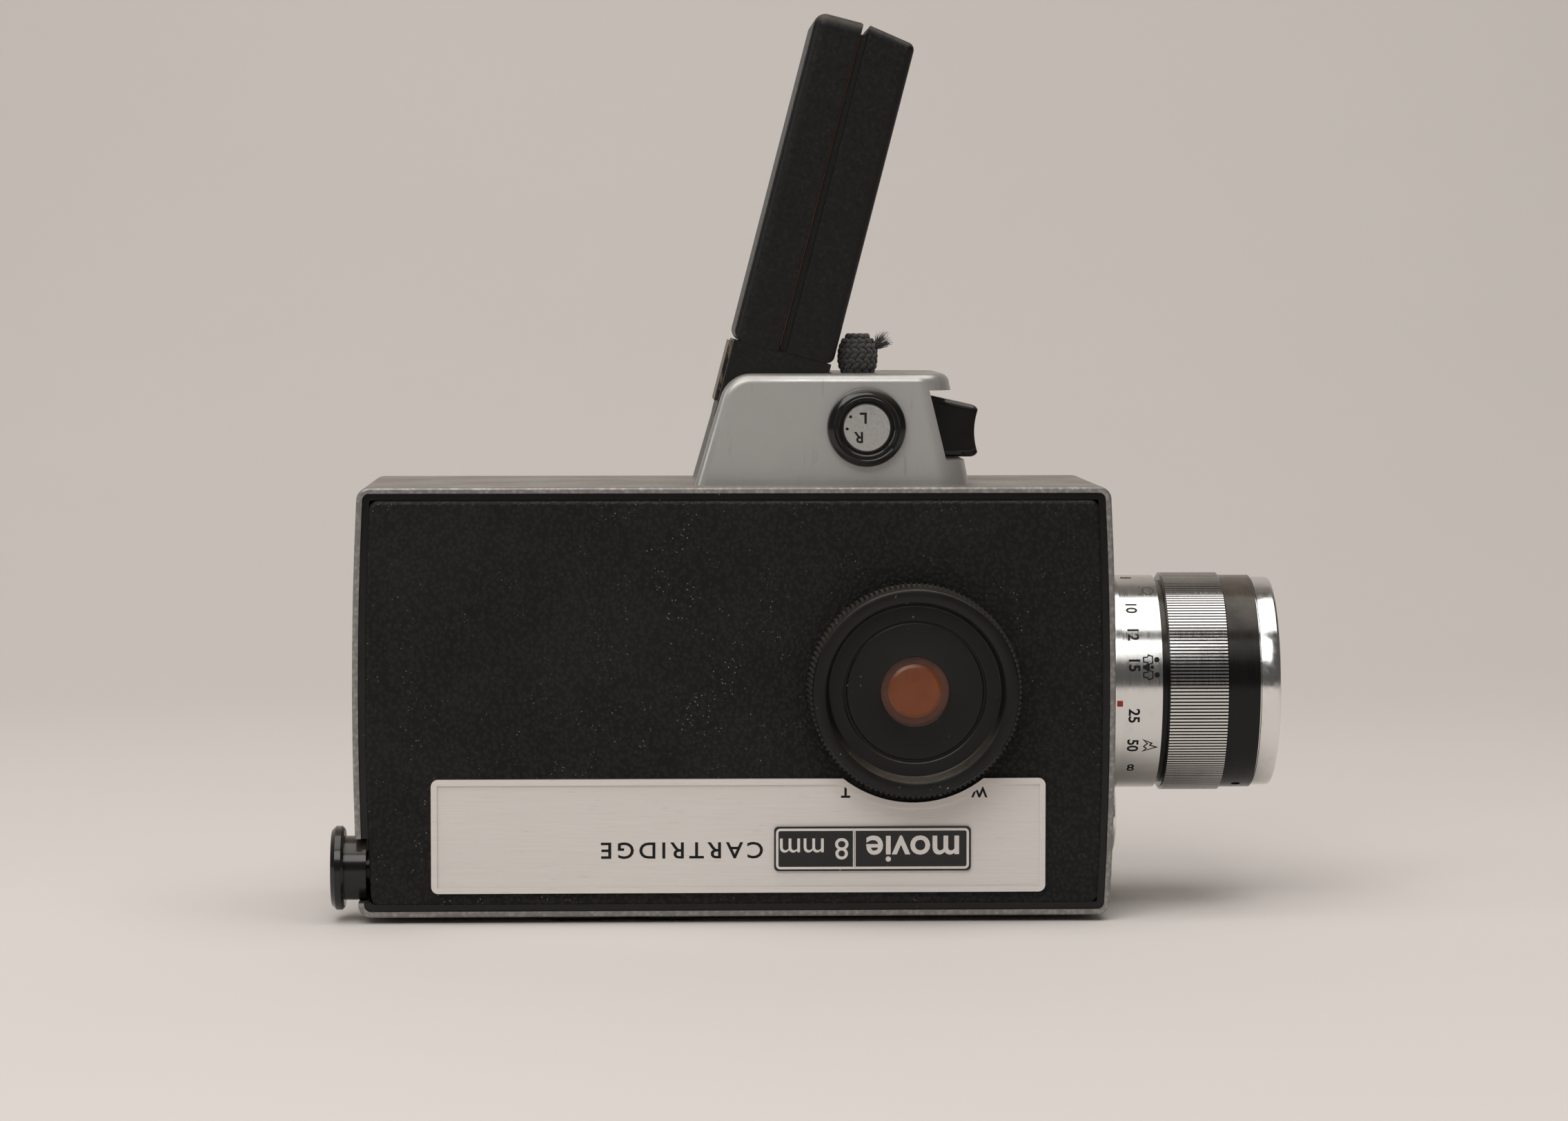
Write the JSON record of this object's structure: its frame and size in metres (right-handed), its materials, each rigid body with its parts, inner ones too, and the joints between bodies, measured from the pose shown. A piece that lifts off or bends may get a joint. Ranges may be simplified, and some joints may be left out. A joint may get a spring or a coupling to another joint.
{
  "type": "cine camera",
  "caption": "Compact cartridge cine camera with a folding pistol grip, zoom dial, distance scale ring, side film door and rear eyepiece, shown lying on its top.",
  "frame": {"origin": "middle of the front rib of the light socket on the top plate, in the plane that the camera rests on as pictured", "axes": "+X out of the lens, +Z out of the grip (away from the top plate: the camera is stored upside down, resting on its top), -Y the operator's left side with the zoom dial"},
  "size_m": [0.1789, 0.065, 0.1692],
  "materials": {
    "shell_paint": "hammered silver-grey lacquer, satin",
    "housing_paint": "silver-grey lacquer, satin",
    "leatherette": "fine pebbled black leatherette",
    "channel_black": "gloss black channel",
    "nameplate": "satin brushed aluminium",
    "badge": "black enamel badge",
    "black_plastic": "black moulded plastic",
    "gloss_black": "gloss black plastic",
    "ring_aluminium": "polished aluminium",
    "barrel_black": "gloss black anodised barrel",
    "chrome": "polished chrome",
    "glass": "coated optical glass",
    "amber": "amber translucent cap",
    "brown_plastic": "brown moulded plastic",
    "red_paint": "red index paint",
    "steel": "bright steel",
    "brass": "turned brass",
    "grip_plastic": "textured black plastic",
    "grip_line": "bright spacer frame",
    "cell_jacket": null,
    "cord": "braided black cord",
    "window": "smoked clear plastic"
  },
  "bodies": {
    "camera": {"body_shell": "shell_paint", "left_trim_frame": "channel_black", "left_cover": "leatherette", "nameplate": "nameplate", "badge_plate": "badge", "light_socket": "black_plastic", "zoom_bush": "brass", "mechanism_plate": "black_plastic", "film_gate": "steel", "cartridge_spring": "steel", "shutter_pin": "steel", "motor": "steel", "door_hinge_pin": "steel", "lens_flange": "ring_aluminium", "index_mark": "red_paint", "lens_tube": "barrel_black", "rear_lens": "glass", "viewfinder_tube": "barrel_black", "viewfinder_window": "glass", "meter_eye_bezel": "chrome", "meter_eye_glass": "glass", "grip_housing": "housing_paint", "housing_end_plate": "housing_paint", "end_plate_screws": "steel", "release_switch": "black_plastic", "lock_disc": "ring_aluminium", "grip_hinge_pin": "steel", "wrist_cord_knot": "cord"},
    "focus_group": {"focus_scale_ring": "ring_aluminium", "focus_core": "barrel_black", "focus_grip_ring": "ring_aluminium", "front_barrel": "barrel_black", "set_screws": "steel", "front_ring": "chrome", "front_element": "glass"},
    "zoom_knob": {"zoom_dial": "gloss_black", "zoom_dial_seat": "brown_plastic", "zoom_dial_cap": "amber", "zoom_shaft": "steel"},
    "carriage": {"zoom_carriage": "brass", "zoom_lens": "glass"},
    "eyecup": {"eyepiece": "gloss_black", "eyepiece_lens": "glass"},
    "side_door": {"film_door": "shell_paint", "door_cover": "leatherette", "door_window": "window"},
    "latch": {"door_latch": "chrome"},
    "grip": {"grip_root": "grip_plastic", "grip_rear_plate": "barrel_black", "grip_core": "grip_line", "grip_rear_shell": "grip_plastic", "battery_cells": "cell_jacket", "battery_contacts": "brass"},
    "grip_lid": {"battery_cover": "grip_plastic"},
    "release": {"trigger": "gloss_black"},
    "lock": {"lock_ring": "gloss_black"},
    "motor_rotor": {"motor_shaft": "steel"},
    "shutter": {"shutter_disc": "black_plastic"},
    "takeup": {"takeup_spindle": "black_plastic"},
    "claw": {"film_claw": "steel"}
  },
  "joints": [
    {"name": "grip_fold", "type": "hinge", "parent": "camera", "child": "grip", "pos_m": [0.0176, 0, 0.0925], "axis": [0, -1, 0], "range_deg": [0, 104.5]},
    {"name": "battery_cover_off", "type": "slide", "parent": "grip", "child": "grip_lid", "axis": [0.2504, 0, 0.9681], "range_m": [0, 0.062]},
    {"name": "trigger_press", "type": "slide", "parent": "camera", "child": "release", "axis": [-1, 0, 0], "range_m": [0, 0.0035], "stiffness_N_per_m": 400},
    {"name": "lock_turn", "type": "hinge", "parent": "camera", "child": "lock", "pos_m": [0.0367, -0.019, 0.092], "axis": [0, -1, 0], "range_deg": [0, 40]},
    {"name": "zoom_turn", "type": "hinge", "parent": "camera", "child": "zoom_knob", "pos_m": [0.045, -0.028, 0.0437], "axis": [0, -1, 0], "range_deg": [-33, 33]},
    {"name": "zoom_travel", "type": "slide", "parent": "camera", "child": "carriage", "axis": [1, 0, 0], "range_m": [-0.0023, 0.0023]},
    {"name": "focus_turn", "type": "hinge", "parent": "camera", "child": "focus_group", "pos_m": [0.0969, 0.006, 0.0422], "axis": [1, 0, 0], "range_deg": [-42, 125]},
    {"name": "eyepiece_turn", "type": "hinge", "parent": "camera", "child": "eyecup", "pos_m": [-0.0601, -0.021, 0.0099], "axis": [1, 0, 0], "range_deg": [-60, 60]},
    {"name": "film_door_hinge", "type": "hinge", "parent": "camera", "child": "side_door", "pos_m": [-0.0575, 0.0254, 0.0412], "axis": [0, 0, 1], "range_deg": [0, 100]},
    {"name": "door_latch_slide", "type": "slide", "parent": "side_door", "child": "latch", "axis": [-1, 0, 0], "range_m": [0, 0.004]},
    {"name": "shutter_spin", "type": "hinge", "parent": "camera", "child": "shutter", "pos_m": [0.0389, -0.002, 0.0522], "axis": [1, 0, 0], "continuous": true},
    {"name": "motor_spin", "type": "hinge", "parent": "camera", "child": "motor_rotor", "pos_m": [0.0319, -0.0115, 0.0582], "axis": [1, 0, 0], "continuous": true},
    {"name": "takeup_spin", "type": "hinge", "parent": "camera", "child": "takeup", "pos_m": [-0.0121, 0, 0.0422], "axis": [0, 1, 0], "continuous": true},
    {"name": "claw_stroke", "type": "slide", "parent": "camera", "child": "claw", "axis": [0, 0, 1], "range_m": [0, 0.0042]}
  ],
  "couplings": [
    {"joint": "zoom_turn", "follows": "zoom_travel", "rad_per_m": 250},
    {"joint": "motor_spin", "follows": "shutter_spin", "ratio": -2.4957}
  ]
}
